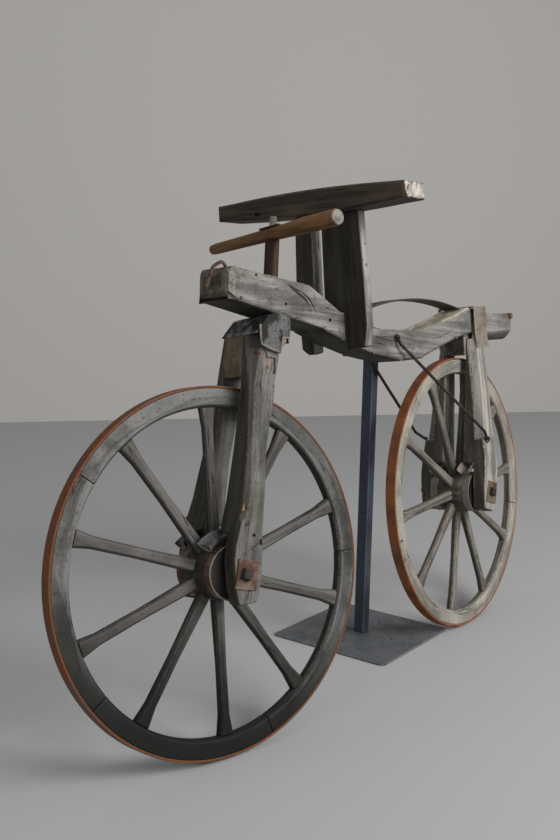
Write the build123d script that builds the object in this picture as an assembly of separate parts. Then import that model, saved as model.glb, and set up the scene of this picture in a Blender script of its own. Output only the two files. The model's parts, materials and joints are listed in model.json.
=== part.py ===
from build123d import *
import math
import os

# A wooden running machine of about 1820: two spoked wheels in line under a carved beam, a front fork that
# steers through a wooden stem, a board on two uprights to rest the forearms on, and the steel display
# post that carries it.
#
# Millimetres. The machine is drawn upright in its own axes: X forward from the front axle, Y to the left of
# the middle plane, Z up from the floor. place() leans it to its right against the post and moves it to the
# finished part's axes, whose origin is the middle of the stand plate's underside. Fork pieces are drawn with
# the wheel straight ahead, and steer() turns them to where the fork stands.

# Stance
FRONT_AXLE_X = 764.0
MIDDLE_Y = 184.0
LEAN = 7.07
LIFT = 1.8
WHEELBASE = 1035.0
STEER = -14.0
RAKE = 11.5
STEM_X_AT_HUB = -110.0
FRONT_HUB_Z = 377.0
REAR_HUB_Z = 375.0

# Wheels
WHEEL_R = 375.0
TYRE_T = 5.0
TYRE_W = 28.0
FELLOE_DEPTH = 39.0
FELLOE_W = 28.0
FELLOE_COUNT = 5
FELLOE_GAP_DEG = 0.12
FELLOE_BEVEL = 6.0
SPOKE_COUNT = 10
# Spoke sections: share of the way from nave to rim, half width along the axle, half width along the rim
SPOKE_SECTIONS = [(0.0, 11.0, 14.0), (0.5, 9.0, 11.5), (0.84, 9.0, 12.5), (1.0, 10.0, 19.0)]
SPOKE_EDGE = 5.0
FRONT_SPOKE_PHASE = 22.0
REAR_SPOKE_PHASE = 33.0
NAVE_HALF = 58.0
NAVE_R = 58.0
NAVE_END_R = 52.0
NAVE_BAND_W = 20.0
NAVE_BAND_T = 3.0
AXLE_R = 12.0
AXLE_REACH = 97.0
AXLE_END = 8.0
RUNNING_FIT = 0.05
HUB_GAP = 5.0
NAVE_END = NAVE_HALF + HUB_GAP

# Beam: stations along X with the height of its top and of its underside
BEAM_HALF_W = 44.0
BEAM_TOP = [(-40, 988), (-310, 947), (-440, 884), (-600, 842), (-820, 832), (-1000, 866), (-1090, 888),
            (-1188, 879), (-1198, 868), (-1372, 865)]
BEAM_BELOW = [(-1368, 790), (-1200, 792), (-1186, 815), (-1085, 814), (-1000, 803), (-800, 760), (-690, 759),
              (-560, 783), (-440, 817), (-345, 850), (-30, 921)]
BEAM_BEND_R = 90.0
BEAM_END_CHAMFER = 12.0
STUB_X = -1200.0
STUB_CHAMFER = 25.0
PEG_X = -1358.0
PEG_Z = 858.0
PEG_R = 9.0

# Turntable: the fork's top plane, square to the stem, at this height on the stem's axis
TURNTABLE_Z = 880.0
TURNTABLE_GAP = 2.0
STEM_R = 15.5
STEM_TOP_Z = 1048.0
TENON_R = 8.0
TENON_TOP_Z = 1097.0

# Front fork, straight ahead: side edges as (x, z), outer edge as (y, z). The outer front arris is taken
# off along a plane through three points (x, y, z): low and high on the front face, and on the outer face.
LEG_INNER = 31.5
SHOULDER_Z = 458.0
LEG_FRONT_EDGE = [(-123, 885), (-115, 850), (-100, 785), (-90, 735), (-55, 616), (-23, 518), (1, 461),
                  (12, 436), (20, 408), (23, 348), (19, 318)]
LEG_REAR_EDGE = [(-24, 316), (-42, 360), (-53, 435), (-70, 512), (-91, 590), (-118, 658), (-139, 700),
                 (-156, 747), (-183, 820), (-192, 885)]
LEG_OUTER_EDGE = [(97, 316), (99, 436), (99, 520), (95, 558), (84, 634), (76, 700), (70, 742), (67, 831),
                  (66, 885)]
LEG_ARRIS = [(-12, 94, 482), (-111, 43, 830), (-101, 70, 742)]
RIGHT_OUTER_EDGE = LEG_OUTER_EDGE[:4] + [(80, 634), (68, 700), (60, 750), (50, 800), (43, 851), (40, 885)]
RIGHT_ARRIS = [(-12, 94, 482), (-111, 38, 830), (-122, 60, 745)]
CROWN_BOTTOM_Z = 762.0
CAP_T = 3.0
# Sheet cap on the fork, about the stem at the fork's top: the fold of its underside, and one side of its
# wider front half, which is set to the left
CAP_LINE = [(88, -48), (60, -10), (45, -3), (-25, -3), (-30, -48)]
CAP_STRIP_HALF_W = 33.0
HOOD_HALF_W = 60.0
HOOD_Y = 15.0
HOOD_SIDE = [(2, 0), (45, 0), (60, -7), (78, -31), (76, -67), (25, -78), (22, -46), (0, -44)]
HOOD_RIGHT_DROP = 36.0
AXLE_PLATE_SPAN = (-32.0, 20.0)
AXLE_PLATE_HALF_H = 29.0
AXLE_PLATE_TURN = 17.0
AXLE_PLATE_Y = (97.0, 102.0)
# Hub guard: its section as (radius, y), and the angle it starts and the arc it covers
GUARD_SECTION = [(82, 62), (62, 34), (64, 33), (84.5, 62)]
GUARD_START = 142.0
GUARD_ARC = 94.0

# Handlebar: radii along its length, from (y, radius) at the right tip to the left end
BAR_PROFILE = [(-226, 6), (-221, 11), (-205, 12.3), (-110, 13), (-10, 14.2), (60, 15.8), (109, 18),
               (109, 17.5), (203, 17.5), (209, 15)]
BAR_FALL = 1.0
BAR_Z = 1060.5
BAR_MID_R = 14.2

# Uprights and arm rest
UPRIGHT_FRONT_X = -440.0
UPRIGHT_LEFT_T = 28.0
UPRIGHT_RIGHT_T = 38.0
ARM_Y = -13.0
ARM_Z = 1140.5
ARM_TILT = 1.8
ARM_HALF_LENGTH = 262.0
ARM_DEPTH = 90.0
ARM_MID_T = 56.0
ARM_END_T = 35.0

# Rear fork: side edges as (x, z), outer edge as (y, z), and the outer front arris as for the front fork
REAR_LEG_FRONT_EDGE = [(-1092, 878), (-1075, 770), (-1051, 630), (-1032, 540), (-1018, 470), (-1003, 406),
                       (-1000, 335)]
REAR_LEG_REAR_EDGE = [(-1050, 317), (-1078, 345), (-1090, 430), (-1095, 500), (-1105, 570), (-1118, 650),
                      (-1134, 760), (-1150, 878)]
REAR_LEG_OUTER_EDGE = [(97, 317), (100, 430), (98, 470), (85, 550), (78, 630), (69, 700), (60, 760),
                       (55, 800), (54, 878)]
REAR_LEG_ARRIS = [(-1028, 66, 522), (-1070, 42, 740), (-1063, 72, 628)]
STRAP_X = -1130.0
STRAP_HALF_W = 38.0
STRAP_T = 2.5
STRAP_TOP_Z = 888.0

# Stand, in the finished part's axes
POST_SIDE = 30.0
POST_TOP_Z = 797.0
PLATE_SIDE = 346.0
PLATE_T = 5.0
PLATE_CORNER_R = 16.0
PLATE_BOLT_CIRCLE_R = 95.0
PLATE_BOLT_R = 4.5


def place(shape):
    return Pos(FRONT_AXLE_X, MIDDLE_Y, LIFT) * Rot(LEAN, 0, 0) * shape


def on_stem(z):
    """Frame on the steering axis at height z, its Z along the axis."""
    x = STEM_X_AT_HUB - (z - WHEEL_R) * math.tan(math.radians(RAKE))
    return Pos(x, 0, z) * Rot(0, -RAKE, 0)


def steer(shape):
    hub = on_stem(WHEEL_R)
    return place(hub * Rot(0, 0, STEER) * hub.inverse() * shape)


def side_plate(points, half, frame=Pos(0, 0, 0)):
    """Plate about the middle plane from a list of (x, z) points."""
    face = Plane.XZ * make_face(Polyline(*points, close=True))
    return frame * extrude(face, amount=half, both=True)


def cross_plate(points, half, x=0):
    """Plate across the machine from a list of (y, z) points."""
    face = Plane.YZ * make_face(Polyline(*points, close=True))
    return Pos(x, 0, 0) * extrude(face, amount=half, both=True)


def mirrored(shape):
    return mirror(shape, about=Plane.XZ)


def pair(shape):
    return [shape, mirrored(shape)]


def block(x, y, z):
    """Box between two corners, each argument a (low, high) pair."""
    size = [span[1] - span[0] for span in (x, y, z)]
    return Pos(sum(x) / 2, sum(y) / 2, sum(z) / 2) * Box(*size)


def across(radius, y_low, y_high):
    """Cylinder along Y on the wheel's own axis."""
    return Pos(0, (y_low + y_high) / 2, 0) * Rot(90, 0, 0) * Cylinder(radius, y_high - y_low)


def largest(shape):
    return sorted(shape.solids(), key=lambda solid: solid.volume)[-1]


def rod(points, bend, radius):
    """Round bar along a line of points with its corners bent."""
    path = FilletPolyline(*points, radius=bend)
    return sweep(Plane(origin=path @ 0, z_dir=path % 0) * Circle(radius), path=path)


def felloe():
    inner = WHEEL_R - TYRE_T - FELLOE_DEPTH
    outer = WHEEL_R - TYRE_T
    half = FELLOE_W / 2
    section = make_face(Polyline(
        (outer, -half), (outer, half), (inner + FELLOE_BEVEL, half), (inner, half - FELLOE_BEVEL),
        (inner, FELLOE_BEVEL - half), (inner + FELLOE_BEVEL, -half), close=True))
    return revolve(section, axis=Axis.Y, revolution_arc=360 / FELLOE_COUNT - FELLOE_GAP_DEG)


def spoke_section(half_w, half_h):
    return chamfer(Rectangle(2 * half_w, 2 * half_h).vertices(), SPOKE_EDGE)


def spoke():
    """One tapered spoke along X from the nave to the felloe."""
    start = NAVE_END_R - 7
    length = WHEEL_R - TYRE_T - FELLOE_DEPTH + 6 - start
    sections = [Plane.YZ.offset(start + share * length) * spoke_section(half_w, half_h)
                for share, half_w, half_h in SPOKE_SECTIONS]
    return loft(sections, ruled=True)


def nave():
    bore = AXLE_R + RUNNING_FIT
    seat = NAVE_HALF - NAVE_BAND_W
    outline = [(bore, -NAVE_HALF), (NAVE_END_R, -NAVE_HALF), (NAVE_END_R, -seat), (NAVE_R - 4, -seat),
               (NAVE_R, -22), (NAVE_R, 22), (NAVE_R - 4, seat), (NAVE_END_R, seat),
               (NAVE_END_R, NAVE_HALF), (bore, NAVE_HALF)]
    return revolve(make_face(Polyline(*outline, close=True)), axis=Axis.Y)


def wheel(phase):
    """Pieces of one wheel on its own axis, by name."""
    tyre = revolve(Pos(WHEEL_R - TYRE_T / 2, 0) * Rectangle(TYRE_T, TYRE_W), axis=Axis.Y)
    hub = nave()
    inner = WHEEL_R - TYRE_T - FELLOE_DEPTH
    rim = across(WHEEL_R, -FELLOE_W, FELLOE_W) - across(inner, -FELLOE_W, FELLOE_W)
    turn = 360 / SPOKE_COUNT
    spokes = [Rot(0, -phase - turn * i, 0) * spoke() - hub - rim for i in range(SPOKE_COUNT)]
    arc = 360 / FELLOE_COUNT
    felloes = [Rot(0, -phase - turn / 2 - arc * i, 0) * felloe() for i in range(FELLOE_COUNT)]
    band_y = NAVE_HALF - NAVE_BAND_W
    band = across(NAVE_END_R + NAVE_BAND_T, band_y, NAVE_HALF) - across(NAVE_END_R, band_y, NAVE_HALF)
    return {"tyre": [tyre], "felloes": felloes, "spokes": spokes, "nave": [hub], "nave_bands": pair(band)}


def axle():
    """Round iron axle with a square peg at each end, on the wheel's own axis."""
    end = AXLE_END
    reach = AXLE_REACH
    return across(AXLE_R, -reach, reach) + block((-end, end), (-reach - 9, reach + 9), (-end, end))


def axle_plate(leg):
    """Iron plate let on to the outside of a leg's foot, on the wheel's own axis."""
    half = AXLE_PLATE_HALF_H
    plate = Rot(0, -AXLE_PLATE_TURN, 0) * block(AXLE_PLATE_SPAN, AXLE_PLATE_Y, (-half, half))
    return largest(plate - leg - across(AXLE_R, 0, 200))


def hub_guard(leg):
    """Sheet eave over the end of a nave, sloping down from the leg towards the spokes."""
    section = make_face(Polyline(*GUARD_SECTION, close=True))
    return largest(Rot(0, -GUARD_START, 0) * revolve(section, axis=Axis.Y, revolution_arc=GUARD_ARC) - leg)


def beam():
    body = make_face(Polyline(*(BEAM_TOP + BEAM_BELOW), close=True))
    bends = [corner for corner in body.vertices() if -1080 < corner.X < -60]
    solid = extrude(Plane.XZ * fillet(bends, BEAM_BEND_R), amount=BEAM_HALF_W, both=True)
    front = solid.faces().sort_by(Axis.X)[-1]
    solid = chamfer(front.edges(), BEAM_END_CHAMFER)
    stub = cross_plate([(BEAM_HALF_W, 780), (BEAM_HALF_W, 790 + STUB_CHAMFER),
                        (BEAM_HALF_W - STUB_CHAMFER, 788), (0, 788), (0, 780)], 100, STUB_X - 100)
    solid = solid - stub - mirrored(stub) - rear_peg()
    seat = on_stem(TURNTABLE_Z) * block((-150, 130), (-100, 100), (-100, 0))
    bore = on_stem(TURNTABLE_Z) * Cylinder(STEM_R + RUNNING_FIT, 400)
    return solid - seat - bore


def arm_rest():
    """Board across the machine, thick in the middle and thinned towards its ends."""
    half = ARM_HALF_LENGTH
    mid, end = ARM_MID_T / 2, ARM_END_T / 2
    top = ThreePointArc((-half, end), (0, mid), (half, end))
    low = ThreePointArc((half, -end), (0, -mid), (-half, -end))
    front = make_face([top, Line(top @ 1, low @ 0), low, Line(low @ 1, top @ 0)])
    board = extrude(Plane.YZ * front, amount=ARM_DEPTH / 2, both=True)
    board = fillet(board.edges().filter_by(Axis.Z), 12)
    return Pos(UPRIGHT_FRONT_X - 5, ARM_Y, ARM_Z) * Rot(-ARM_TILT, 0, 0) * board


def left_upright(timber, board):
    """Wide plank with a shoulder on the beam and a tongue down its left side."""
    outline = [(-8, 880), (0, ARM_Z), (101, ARM_Z), (105, 960), (105, 850), (96, 803), (BEAM_HALF_W, 798),
               (BEAM_HALF_W, 880)]
    plank = cross_plate(outline, UPRIGHT_LEFT_T / 2, UPRIGHT_FRONT_X - UPRIGHT_LEFT_T / 2)
    return largest(plank - timber - board)


def right_upright(timber, board):
    """Narrow post let down the beam's right side."""
    outline = [(-26, ARM_Z), (-32, 960), (-32, 880), (-BEAM_HALF_W, 880), (-BEAM_HALF_W, 796), (-62, 792),
               (-80, 806), (-84, 960), (-72, ARM_Z)]
    post = cross_plate(outline, UPRIGHT_RIGHT_T / 2, UPRIGHT_FRONT_X - UPRIGHT_RIGHT_T / 2)
    return largest(post - timber - board)


def hood_space():
    """Room above the fork's top, taken by the cap and by the turntable gap."""
    return side_plate(CAP_LINE[:3] + [(-300, -3), (-300, 200), (300, 200), (300, -58)], 200,
                      on_stem(TURNTABLE_Z - TURNTABLE_GAP - CAP_T))


def fork_leg(front_edge, rear_edge, outer_edge, inner_edge):
    """Left leg: the side outline and the front outline cut from one plank."""
    side = side_plate(front_edge + rear_edge, 200)
    front = cross_plate(outer_edge + inner_edge, 2000)
    return side & front


def arris_cut(low, high, back):
    """Slab that takes off a left leg's outer front arris, from the low point upwards."""
    low, high, back = Vector(*low), Vector(*high), Vector(*back)
    slope = Plane(origin=low, x_dir=high - low, z_dir=(back - low).cross(high - low))
    return slope * block((0, 900), (-400, 400), (0, 400))


def front_leg(outer_edge, arris):
    inner = [(LEG_INNER, 885), (LEG_INNER, SHOULDER_Z), (NAVE_END, SHOULDER_Z), (NAVE_END, 316)]
    body = fork_leg(LEG_FRONT_EDGE, LEG_REAR_EDGE, outer_edge, inner) - arris_cut(*arris)
    return body - hood_space() - Pos(0, 0, FRONT_HUB_Z) * across(AXLE_R, 0, 200)


def fork_crown():
    """Block between the legs that reaches back to the stem."""
    tongue = side_plate([(-122, 880), (-109, 829), (-103, 800), (-100, CROWN_BOTTOM_Z),
                         (-150, CROWN_BOTTOM_Z - 3), (-190, 800), (-228, 822), (-240, 880)], LEG_INNER)
    return tongue - hood_space() - on_stem(TURNTABLE_Z) * Cylinder(STEM_R, 400)


def fork_cap(crown, legs):
    """Bent sheet: a strip over the crown, and a hood over the legs, its right side shorter than its left."""
    table = on_stem(TURNTABLE_Z - TURNTABLE_GAP - CAP_T)
    middle = table * Pos(0, HOOD_Y, 0)
    upper = [(x, z + CAP_T) for x, z in CAP_LINE[2::-1]]
    strip = side_plate(CAP_LINE + [(-33, -48), (-28, 0)] + upper, CAP_STRIP_HALF_W, table)
    lip = side_plate(CAP_LINE[:3] + [(2, -3), (2, 0)] + upper, HOOD_HALF_W, middle)
    room = side_plate(CAP_LINE[:3] + [(-9, -3), (-9, -100), (127, -100)], HOOD_HALF_W - CAP_T, middle)
    below = table * block((-100, 120), (-100, 0), (-100, -HOOD_RIGHT_DROP))
    sides = side_plate(HOOD_SIDE, HOOD_HALF_W, middle) - room - below
    bore = on_stem(TURNTABLE_Z) * Cylinder(STEM_R, 400)
    return largest(strip + lip + sides - bore - crown - legs[0] - legs[1])


def steering_stem():
    slope = math.cos(math.radians(RAKE))
    body_top = (STEM_TOP_Z - TURNTABLE_Z) / slope
    tenon_top = (TENON_TOP_Z - TURNTABLE_Z) / slope
    body_low = -70.0
    frame = on_stem(TURNTABLE_Z)
    body = frame * Pos(0, 0, (body_top + body_low) / 2) * Cylinder(STEM_R, body_top - body_low)
    tenon = frame * Pos(0, 0, (tenon_top + body_top) / 2) * Cylinder(TENON_R, tenon_top - body_top)
    return body + tenon


def on_bar():
    """Frame at the bar's middle, its Y along the bar to the left."""
    return on_stem(BAR_Z) * Rot(-BAR_FALL, 0, 0)


def handlebar():
    """Hand-shaped bar, cut flat at the left, rounded off at the right and flattened for the plate."""
    profile = [(0, BAR_PROFILE[0][0])] + [(r, y) for y, r in BAR_PROFILE] + [(0, BAR_PROFILE[-1][0])]
    bar = revolve(make_face(Polyline(*profile, close=True)), axis=Axis.Y)
    flat = Pos(0, 0, BAR_MID_R + 8) * Box(27, 70, 20)
    return on_bar() * (bar - flat) - steering_stem()


def stem_plate():
    return on_bar() * Pos(0, 0, BAR_MID_R - 0.5) * Box(25, 68, 3) - steering_stem()


def rear_leg():
    inner = [(BEAM_HALF_W, 878), (BEAM_HALF_W, 800), (LEG_INNER, 800), (LEG_INNER, SHOULDER_Z),
             (NAVE_END, SHOULDER_Z), (NAVE_END, 317)]
    body = fork_leg(REAR_LEG_FRONT_EDGE, REAR_LEG_REAR_EDGE, REAR_LEG_OUTER_EDGE, inner)
    return body - arris_cut(*REAR_LEG_ARRIS) - Pos(-WHEELBASE, 0, REAR_HUB_Z) * across(AXLE_R, 0, 200)


def rear_crown(timber):
    return largest(side_plate([(-1067, 755), (-1136, 755), (-1146, 830), (-1072, 830)], LEG_INNER) - timber)


def rear_strap(timber, legs):
    """Band nailed over the beam and down the tops of the rear legs."""
    top = STRAP_TOP_Z
    inside = 54.0
    out = inside + STRAP_T
    outline = [(-out - 4, 773), (-out, 800), (-out, top + STRAP_T), (out, top + STRAP_T), (out, 800),
               (out + 4, 773), (inside + 4, 773), (inside, 800), (inside, top), (-inside, top),
               (-inside, 800), (-inside - 4, 773)]
    return cross_plate(outline, STRAP_HALF_W, STRAP_X) - timber - legs[0] - legs[1]


def rear_stay(timber, leg):
    """Iron rod from a hook on the beam to an eye on the rear leg."""
    return largest(rod([(-668, 44, 822), (-672, 57, 800), (-1006, 107, 546), (-1046, 94, 520)], 10, 4)
                   - timber - leg)


def front_hook(timber):
    """Bent iron nail in the front end of the beam."""
    return largest(rod([(-62, 26, 970), (-40, 26, 996), (-24, 14, 985), (-24, -6, 948)], 8, 3.5) - timber)


def saddle_strap():
    """Thin sprung strip, humped over the dip where the rider sat."""
    front, middle, rear = (-478, 869), (-806, 917), (-1069, 887)
    top = ThreePointArc(front, middle, rear)
    low = Pos(0, -4) * ThreePointArc(rear, middle, front)
    face = make_face([top, Line(top @ 1, low @ 0), low, Line(low @ 1, top @ 0)])
    return extrude(Plane.XZ * face, amount=24, both=True)


def rear_peg():
    return Pos(PEG_X, 0, PEG_Z) * across(PEG_R, -48, 50)


def stand_post():
    length = POST_TOP_Z - PLATE_T
    return Pos(0, 0, PLATE_T + length / 2) * Box(POST_SIDE, POST_SIDE, length)


def stand_plate():
    plate = Pos(0, 0, PLATE_T / 2) * Box(PLATE_SIDE, PLATE_SIDE, PLATE_T)
    plate = fillet(plate.edges().filter_by(Axis.Z), PLATE_CORNER_R)
    for spot in PolarLocations(PLATE_BOLT_CIRCLE_R, 4):
        plate = plate - spot * Cylinder(PLATE_BOLT_R, 4 * PLATE_T)
    return plate


def stand_bracket(timber):
    """Steel block between the post and the beam's right side, cut to the beam."""
    return largest(block((-22, 22), (POST_SIDE / 2, 70), (755, 795)) - place(timber))


def save(name, solids):
    flat = [solid for item in solids for solid in item.solids()]
    body = flat[0] if len(flat) == 1 else Compound(children=flat)
    body.label = name
    export_step(body, os.path.join("parts", name + ".step"))


def save_all(pieces, locate):
    for name, solids in pieces.items():
        save(name, [locate(solid) for solid in solids])


def frame_pieces(timber):
    board = arm_rest()
    legs = pair(rear_leg())
    at_hub = Pos(-WHEELBASE, 0, REAR_HUB_Z)
    return {
        "beam": [timber],
        "upright_left": [left_upright(timber, board)],
        "upright_right": [right_upright(timber, board)],
        "arm_rest": [board],
        "saddle_strap": [saddle_strap() - timber],
        "rear_leg_left": [legs[0]],
        "rear_leg_right": [legs[1]],
        "rear_crown": [rear_crown(timber)],
        "rear_strap": [rear_strap(timber, legs)],
        "rear_stays": pair(rear_stay(timber, legs[0])),
        "rear_axle": [at_hub * axle()],
        "rear_axle_plates": pair(at_hub * axle_plate(at_hub.inverse() * legs[0])),
        "rear_guards": pair(at_hub * hub_guard(at_hub.inverse() * legs[0])),
        "front_hook": [front_hook(timber)],
        "rear_peg": [rear_peg()],
    }


def fork_pieces():
    legs = [front_leg(LEG_OUTER_EDGE, LEG_ARRIS), mirrored(front_leg(RIGHT_OUTER_EDGE, RIGHT_ARRIS))]
    crown = fork_crown()
    at_hub = Pos(0, 0, FRONT_HUB_Z)
    return {
        "fork_leg_left": [legs[0]],
        "fork_leg_right": [legs[1]],
        "fork_crown": [crown],
        "fork_cap": [fork_cap(crown, legs)],
        "front_axle": [at_hub * axle()],
        "front_axle_plates": pair(at_hub * axle_plate(at_hub.inverse() * legs[0])),
        "front_guards": pair(at_hub * hub_guard(at_hub.inverse() * legs[0])),
        "steering_stem": [steering_stem()],
        "handlebar": [handlebar()],
        "stem_plate": [stem_plate()],
    }


def wheel_pieces(prefix, hub, phase):
    return {prefix + "_" + name: [hub * solid for solid in solids] for name, solids in wheel(phase).items()}


os.makedirs("parts", exist_ok=True)
timber = beam()
save_all(frame_pieces(timber), place)
save_all(fork_pieces(), steer)
save_all(wheel_pieces("front", Pos(0, 0, FRONT_HUB_Z), FRONT_SPOKE_PHASE), steer)
save_all(wheel_pieces("rear", Pos(-WHEELBASE, 0, REAR_HUB_Z), REAR_SPOKE_PHASE), place)
save("stand_post", [stand_post()])
save("stand_plate", [stand_plate()])
save("stand_bracket", [stand_bracket(timber)])
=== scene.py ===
import bmesh
import bpy
import json
import math
import numpy as np
import random
from mathutils import Matrix, Vector


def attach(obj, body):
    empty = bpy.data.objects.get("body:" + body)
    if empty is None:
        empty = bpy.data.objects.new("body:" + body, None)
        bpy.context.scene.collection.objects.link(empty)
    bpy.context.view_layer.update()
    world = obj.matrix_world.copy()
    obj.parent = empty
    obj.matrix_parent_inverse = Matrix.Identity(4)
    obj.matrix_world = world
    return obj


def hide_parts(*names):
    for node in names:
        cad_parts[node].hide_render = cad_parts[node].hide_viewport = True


# %% [markdown]
# # Finishing a wooden running machine
#
# The real object is a two-wheeled machine of about 1820, pushed along with the feet. It is ash and oak with a
# little smith's work, two hundred years old, grey where the light reached it and nearly black elsewhere. The
# frame already has every board, spoke and band in its place. What is missing is the surface: grain that runs
# along each board, edges rounded by hands, nail heads, drying splits, rust.

# %% Load the frame
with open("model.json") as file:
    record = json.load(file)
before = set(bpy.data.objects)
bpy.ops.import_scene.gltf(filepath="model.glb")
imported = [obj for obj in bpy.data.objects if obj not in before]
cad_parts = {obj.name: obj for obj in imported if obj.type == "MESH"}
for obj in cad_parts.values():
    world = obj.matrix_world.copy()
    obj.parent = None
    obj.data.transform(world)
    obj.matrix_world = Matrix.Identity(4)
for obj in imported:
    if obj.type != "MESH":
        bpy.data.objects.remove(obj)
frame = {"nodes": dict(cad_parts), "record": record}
nodes = frame["nodes"]
record = frame["record"]
bodies = record["behaviour"]["bodies"]
joints = {joint["name"]: joint for joint in record["behaviour"]["joints"]}
body_of_node = {node: body for body, members in bodies.items() for node in members}
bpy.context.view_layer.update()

# %% [markdown]
# Details are placed in the machine's own axes: X forward from the front axle, Y to its left, Z up from the
# floor, with the machine upright and its wheel straight. Two matrices carry them to where the parts stand.

# %% The machine's own axes
LEAN = math.radians(7.07)
RAKE = math.radians(11.5)
STEER = math.radians(-14.0)
# middles of the hubs, in the machine's own millimetres, and the body that holds each axle
FRONT_HUB = Vector((0, 0, 377))
REAR_HUB = Vector((-1035, 0, 375))
HUBS = [("front", FRONT_HUB, "fork"), ("rear", REAR_HUB, "frame")]
machine = Matrix.Translation((0.764, 0.184, 0.0018)) @ Matrix.Rotation(LEAN, 4, "X")
stem = Matrix.Translation((-0.110, 0, 0.375)) @ Matrix.Rotation(-RAKE, 4, "Y")
fork = machine @ stem @ Matrix.Rotation(STEER, 4, "Z") @ stem.inverted()
print("front hub", [round(v, 3) for v in fork @ (FRONT_HUB / 1000)])

# %% [markdown]
# Colours are easier to judge as the numbers that a picture editor shows, so this helper takes 0 to 255 and
# gives the linear values that a shader wants.

# %% Colour helper
def tint(red, green, blue):
    """Linear colour from the 0 to 255 values of a picture editor."""
    channels = [value / 255 for value in (red, green, blue)]
    return tuple(c / 12.92 if c <= 0.04045 else ((c + 0.055) / 1.055) ** 2.4 for c in channels) + (1.0,)


def scaled(colour, factor):
    """The same hue, darker or lighter."""
    return tuple(min(factor * channel, 1.0) for channel in colour[:3]) + (1.0,)


CRACK_BLACK = tint(18, 15, 13)
print("crack colour in linear light", [round(v, 4) for v in CRACK_BLACK[:3]])

# %% [markdown]
# ## Shared effects
# Every timber shows fibres that run along it, darker streaks between them and a few drying splits. One node
# group makes all three from a coordinate whose first number runs along the grain. The stretched noise is
# cheap, and it never repeats as a picture of wood would.

# %% Node helpers
def link(tree, source, target):
    tree.links.new(source, target)


def value_node(tree, kind, **settings):
    node = tree.nodes.new(kind)
    for name, value in settings.items():
        setattr(node, name, value)
    return node


def math_node(tree, operation, first, second=None, clamp=False):
    """A Math node whose inputs are sockets or numbers. Returns its output."""
    node = value_node(tree, "ShaderNodeMath", operation=operation, use_clamp=clamp)
    for socket, given in zip(node.inputs, (first, second)):
        if hasattr(given, "is_linked"):
            link(tree, given, socket)
        elif given is not None:
            socket.default_value = given
    return node.outputs[0]


def stretched(tree, vector, scale):
    """The vector times three numbers."""
    node = value_node(tree, "ShaderNodeVectorMath", operation="MULTIPLY")
    link(tree, vector, node.inputs[0])
    node.inputs[1].default_value = scale
    return node.outputs[0]


def noise(tree, vector, scale=1.0, detail=4.0, roughness=0.55, distortion=0.0):
    node = value_node(tree, "ShaderNodeTexNoise")
    link(tree, vector, node.inputs["Vector"])
    node.inputs["Scale"].default_value = scale
    node.inputs["Detail"].default_value = detail
    node.inputs["Roughness"].default_value = roughness
    node.inputs["Distortion"].default_value = distortion
    return node.outputs["Fac"]


def ramp(tree, value, low, high):
    """0 below low and 1 above high."""
    node = value_node(tree, "ShaderNodeMapRange", interpolation_type="SMOOTHSTEP")
    link(tree, value, node.inputs["Value"])
    node.inputs["From Min"].default_value = low
    node.inputs["From Max"].default_value = high
    return node.outputs["Result"]


def blend(tree, factor, first, second):
    """A colour between two, each a socket or a colour."""
    node = value_node(tree, "ShaderNodeMix", data_type="RGBA")
    sockets = (node.inputs["Factor"], node.inputs[6], node.inputs[7])
    for socket, given in zip(sockets, (factor, first, second)):
        if hasattr(given, "is_linked"):
            link(tree, given, socket)
        else:
            socket.default_value = given
    return node.outputs[2]


def new_group(name, inputs, outputs):
    """An empty shader node group. inputs and outputs are (name, socket type) pairs."""
    group = bpy.data.node_groups.new(name, "ShaderNodeTree")
    for label, kind in inputs:
        group.interface.new_socket(name=label, in_out="INPUT", socket_type=kind)
    for label, kind in outputs:
        group.interface.new_socket(name=label, in_out="OUTPUT", socket_type=kind)
    start = group.nodes.new("NodeGroupInput")
    end = group.nodes.new("NodeGroupOutput")
    return group, start.outputs, end.inputs


# %% Grain group
def grain_group():
    group, given, result = new_group(
        "timber_grain", [("Grain", "NodeSocketVector"), ("Splits", "NodeSocketFloat")],
        [("Fibre", "NodeSocketFloat"), ("Streak", "NodeSocketFloat"), ("Split", "NodeSocketFloat"),
         ("Height", "NodeSocketFloat")])
    fibre = noise(group, stretched(group, given["Grain"], (14, 420, 420)), detail=5, roughness=0.65)
    streak = noise(group, stretched(group, given["Grain"], (3.5, 42, 42)), detail=4, roughness=0.6,
                   distortion=0.4)
    wander = noise(group, stretched(group, given["Grain"], (5, 95, 95)), detail=2, distortion=0.3)
    near_line = math_node(group, "ABSOLUTE", math_node(group, "SUBTRACT", wander, 0.5))
    line = math_node(group, "SUBTRACT", 1.0, ramp(group, near_line, 0.004, 0.014))
    place = ramp(group, noise(group, stretched(group, given["Grain"], (4, 16, 16)), detail=2), 0.5, 0.6)
    split = math_node(group, "MULTIPLY", math_node(group, "MULTIPLY", line, place), given["Splits"])
    half_fibre = math_node(group, "MULTIPLY", fibre, 0.5)
    height = math_node(group, "ADD", half_fibre, math_node(group, "MULTIPLY", streak, 0.5))
    link(group, fibre, result["Fibre"])
    link(group, streak, result["Streak"])
    link(group, split, result["Split"])
    link(group, math_node(group, "SUBTRACT", height, split), result["Height"])
    return group


timber_grain = grain_group()
print("group", timber_grain.name, "sockets", len(timber_grain.interface.items_tree))

# %% [markdown]
# Dirt and rust lie in patches that ignore the grain, so they read plain object coordinates. The same patches
# serve timber and iron: one output is broad, one is fine.

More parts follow.
